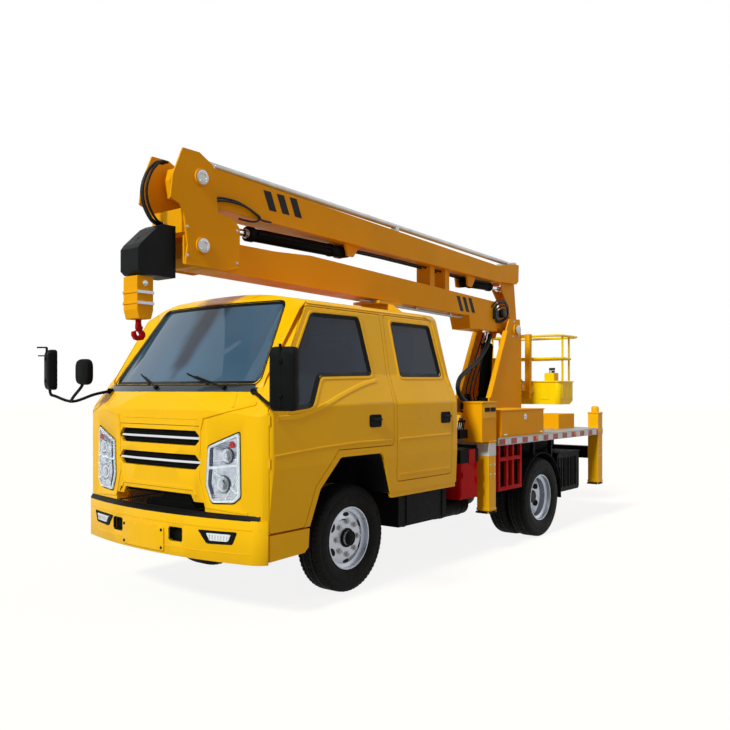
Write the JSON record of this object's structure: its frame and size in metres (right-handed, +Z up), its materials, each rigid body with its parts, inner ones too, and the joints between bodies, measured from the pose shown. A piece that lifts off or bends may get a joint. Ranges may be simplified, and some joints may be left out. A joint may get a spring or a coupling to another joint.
{
  "type": "cherry picker truck",
  "caption": "Crew-cab truck with a folding two-part boom on a rear turret, a work basket, a winch with hook and four outriggers, for work at height.",
  "frame": {"origin": "on the ground on the centre line, midway between the front of the winch cover and the rear of the basket rail", "axes": "+X forward along the truck, +Y to its left, +Z up"},
  "size_m": [6.0293, 2.516, 3.062],
  "materials": {
    "yellow": "gloss engineering yellow",
    "red": "gloss red",
    "chassis_black": "satin black",
    "black_plastic": "matt black",
    "dark_trim": "matt dark grey",
    "grey_metal": "satin grey",
    "silver": "satin silver",
    "chrome": "bright",
    "tyre": "matt",
    "glass": "clear with a blue tint",
    "lamp_glass": "clear",
    "cast_iron": "rough"
  },
  "bodies": {
    "truck": {"running_gear": "cast_iron", "chassis_frame": "chassis_black", "driveline": "cast_iron", "subframe": "yellow", "outrigger_frames": "yellow", "cab_shell": "yellow", "fixed_glass": "glass", "grille": "black_plastic", "grille_strips": "chrome", "headlamps": "lamp_glass", "bumper": "yellow", "cab_interior": "dark_trim", "mirrors": "black_plastic", "deck": "grey_metal", "deck_boxes": "yellow", "side_panels": "red", "mudguards": "black_plastic", "tanks": "black_plastic", "boom_rest": "yellow"},
    "front_left_door": {"front_left_door": "yellow", "front_left_glass": "glass"},
    "front_right_door": {"front_right_door": "yellow", "front_right_glass": "glass"},
    "rear_left_door": {"rear_left_door": "yellow", "rear_left_glass": "glass"},
    "rear_right_door": {"rear_right_door": "yellow", "rear_right_glass": "glass"},
    "steer_left": {"knuckle_left": "cast_iron"},
    "steer_right": {"knuckle_right": "cast_iron"},
    "front_left_wheel": {"front_left_tyre": "tyre", "front_left_rim": "silver"},
    "front_right_wheel": {"front_right_tyre": "tyre", "front_right_rim": "silver"},
    "rear_left_wheels": {"rear_left_tyres": "tyre", "rear_left_rims": "silver"},
    "rear_right_wheels": {"rear_right_tyres": "tyre", "rear_right_rims": "silver"},
    "front_left_leg": {"front_left_leg": "yellow"},
    "front_right_leg": {"front_right_leg": "yellow"},
    "rear_left_leg": {"rear_left_leg": "yellow"},
    "rear_right_leg": {"rear_right_leg": "yellow"},
    "turret": {"turret": "yellow"},
    "lower_boom": {"lower_boom": "yellow"},
    "boom_head": {"boom_head": "yellow", "winch": "black_plastic"},
    "hook": {"hook_block": "yellow", "hook": "red"},
    "upper_boom": {"upper_boom": "yellow", "boom_rail": "grey_metal"},
    "jib": {"jib": "yellow"},
    "level_crank": {"level_crank": "grey_metal"},
    "basket": {"basket_frame": "grey_metal", "basket": "yellow", "basket_rails": "silver"},
    "lift_barrel": {"lift_barrel": "chassis_black"},
    "lift_rod": {"lift_rod": "chrome"},
    "upper_barrel": {"upper_barrel": "chassis_black"},
    "upper_rod": {"upper_rod": "chrome"},
    "jib_barrel": {"jib_barrel": "chassis_black"},
    "jib_rod": {"jib_rod": "chrome"}
  },
  "joints": [
    {"name": "steer_left", "type": "hinge", "parent": "truck", "child": "steer_left", "pos_m": [1.715, 0.625, 0.38], "axis": [0, 0, 1], "range_deg": [-32, 32]},
    {"name": "steer_right", "type": "hinge", "parent": "truck", "child": "steer_right", "pos_m": [1.715, -0.625, 0.38], "axis": [0, 0, 1], "range_deg": [-32, 32]},
    {"name": "front_left_spin", "type": "hinge", "parent": "steer_left", "child": "front_left_wheel", "pos_m": [1.715, 0.69, 0.38], "axis": [0, 1, 0], "continuous": true},
    {"name": "front_right_spin", "type": "hinge", "parent": "steer_right", "child": "front_right_wheel", "pos_m": [1.715, -0.69, 0.38], "axis": [0, 1, 0], "continuous": true},
    {"name": "rear_left_spin", "type": "hinge", "parent": "truck", "child": "rear_left_wheels", "pos_m": [-1.085, 0.7, 0.38], "axis": [0, 1, 0], "continuous": true},
    {"name": "rear_right_spin", "type": "hinge", "parent": "truck", "child": "rear_right_wheels", "pos_m": [-1.085, -0.7, 0.38], "axis": [0, 1, 0], "continuous": true},
    {"name": "front_left_door_hinge", "type": "hinge", "parent": "truck", "child": "front_left_door", "pos_m": [2.67, 0.945, 1], "axis": [0, 0, -1], "range_deg": [0, 70]},
    {"name": "rear_left_door_hinge", "type": "hinge", "parent": "truck", "child": "rear_left_door", "pos_m": [1.37, 0.945, 1], "axis": [0, 0, -1], "range_deg": [0, 70]},
    {"name": "front_right_door_hinge", "type": "hinge", "parent": "truck", "child": "front_right_door", "pos_m": [2.67, -0.945, 1], "axis": [0, 0, 1], "range_deg": [0, 70]},
    {"name": "rear_right_door_hinge", "type": "hinge", "parent": "truck", "child": "rear_right_door", "pos_m": [1.37, -0.945, 1], "axis": [0, 0, 1], "range_deg": [0, 70]},
    {"name": "slew", "type": "hinge", "parent": "truck", "child": "turret", "pos_m": [-1.655, 0, 1.12], "axis": [0, 0, 1], "continuous": true},
    {"name": "lower_boom_lift", "type": "hinge", "parent": "turret", "child": "lower_boom", "pos_m": [-1.895, 0, 2.105], "axis": [0, -1, 0], "range_deg": [0, 75]},
    {"name": "boom_head_level", "type": "hinge", "parent": "lower_boom", "child": "boom_head", "pos_m": [2.555, 0, 2.41], "axis": [0, 1, 0], "range_deg": [0, 75]},
    {"name": "upper_boom_lift", "type": "hinge", "parent": "boom_head", "child": "upper_boom", "pos_m": [2.565, 0, 2.87], "axis": [0, 1, 0], "range_deg": [0, 80]},
    {"name": "jib_luff", "type": "hinge", "parent": "upper_boom", "child": "jib", "pos_m": [-2.055, 0, 2.715], "axis": [0, 1, 0], "range_deg": [0, 90]},
    {"name": "crank_level", "type": "hinge", "parent": "jib", "child": "level_crank", "pos_m": [-2.235, 0, 1.47], "axis": [0, -1, 0], "range_deg": [0, 80]},
    {"name": "basket_level", "type": "hinge", "parent": "level_crank", "child": "basket", "pos_m": [-2.235, 0, 1.47], "axis": [0, -1, 0], "range_deg": [0, 90]},
    {"name": "lift_barrel_swing", "type": "hinge", "parent": "turret", "child": "lift_barrel", "pos_m": [-1.525, 0, 1.33], "axis": [0, -1, 0], "range_deg": [0, 8.59]},
    {"name": "lift_rod_slide", "type": "slide", "parent": "lift_barrel", "child": "lift_rod", "axis": [-0.1231, 0, 0.9924], "range_m": [0, 0.3072]},
    {"name": "upper_barrel_swing", "type": "hinge", "parent": "upper_boom", "child": "upper_barrel", "pos_m": [0.865, 0, 2.612], "axis": [0, 1, 0], "range_deg": [0, 1.72]},
    {"name": "upper_rod_slide", "type": "slide", "parent": "upper_barrel", "child": "upper_rod", "axis": [1, 0, -0.0099], "range_m": [0, 0.5099]},
    {"name": "jib_barrel_swing", "type": "hinge", "parent": "upper_boom", "child": "jib_barrel", "pos_m": [-1.115, 0, 2.56], "axis": [0, -1, 0], "range_deg": [0, 2.89]},
    {"name": "jib_rod_slide", "type": "slide", "parent": "jib_barrel", "child": "jib_rod", "axis": [-0.9997, 0, 0.0263], "range_m": [0, 0.316]},
    {"name": "front_left_leg_down", "type": "slide", "parent": "truck", "child": "front_left_leg", "axis": [0, 0, -1], "range_m": [0, 0.36]},
    {"name": "front_right_leg_down", "type": "slide", "parent": "truck", "child": "front_right_leg", "axis": [0, 0, -1], "range_m": [0, 0.36]},
    {"name": "rear_left_leg_down", "type": "slide", "parent": "truck", "child": "rear_left_leg", "axis": [0, 0, -1], "range_m": [0, 0.385]},
    {"name": "rear_right_leg_down", "type": "slide", "parent": "truck", "child": "rear_right_leg", "axis": [0, 0, -1], "range_m": [0, 0.385]},
    {"name": "hook_lower", "type": "slide", "parent": "boom_head", "child": "hook", "axis": [0, 0, -1], "range_m": [0, 0.22]}
  ],
  "couplings": [
    {"joint": "steer_right", "follows": "steer_left", "ratio": 1},
    {"joint": "boom_head_level", "follows": "lower_boom_lift", "ratio": 1},
    {"joint": "crank_level", "follows": "upper_boom_lift", "ratio": 1},
    {"joint": "basket_level", "follows": "jib_luff", "ratio": 1},
    {"joint": "lift_barrel_swing", "follows": "lower_boom_lift", "ratio": 0.11389},
    {"joint": "lift_rod_slide", "follows": "lower_boom_lift", "m_per_rad": 0.23392},
    {"joint": "upper_barrel_swing", "follows": "upper_boom_lift", "ratio": 0.020823},
    {"joint": "upper_rod_slide", "follows": "upper_boom_lift", "m_per_rad": 0.36447},
    {"joint": "jib_barrel_swing", "follows": "jib_luff", "ratio": 0.031552},
    {"joint": "jib_rod_slide", "follows": "jib_luff", "m_per_rad": 0.20055}
  ]
}
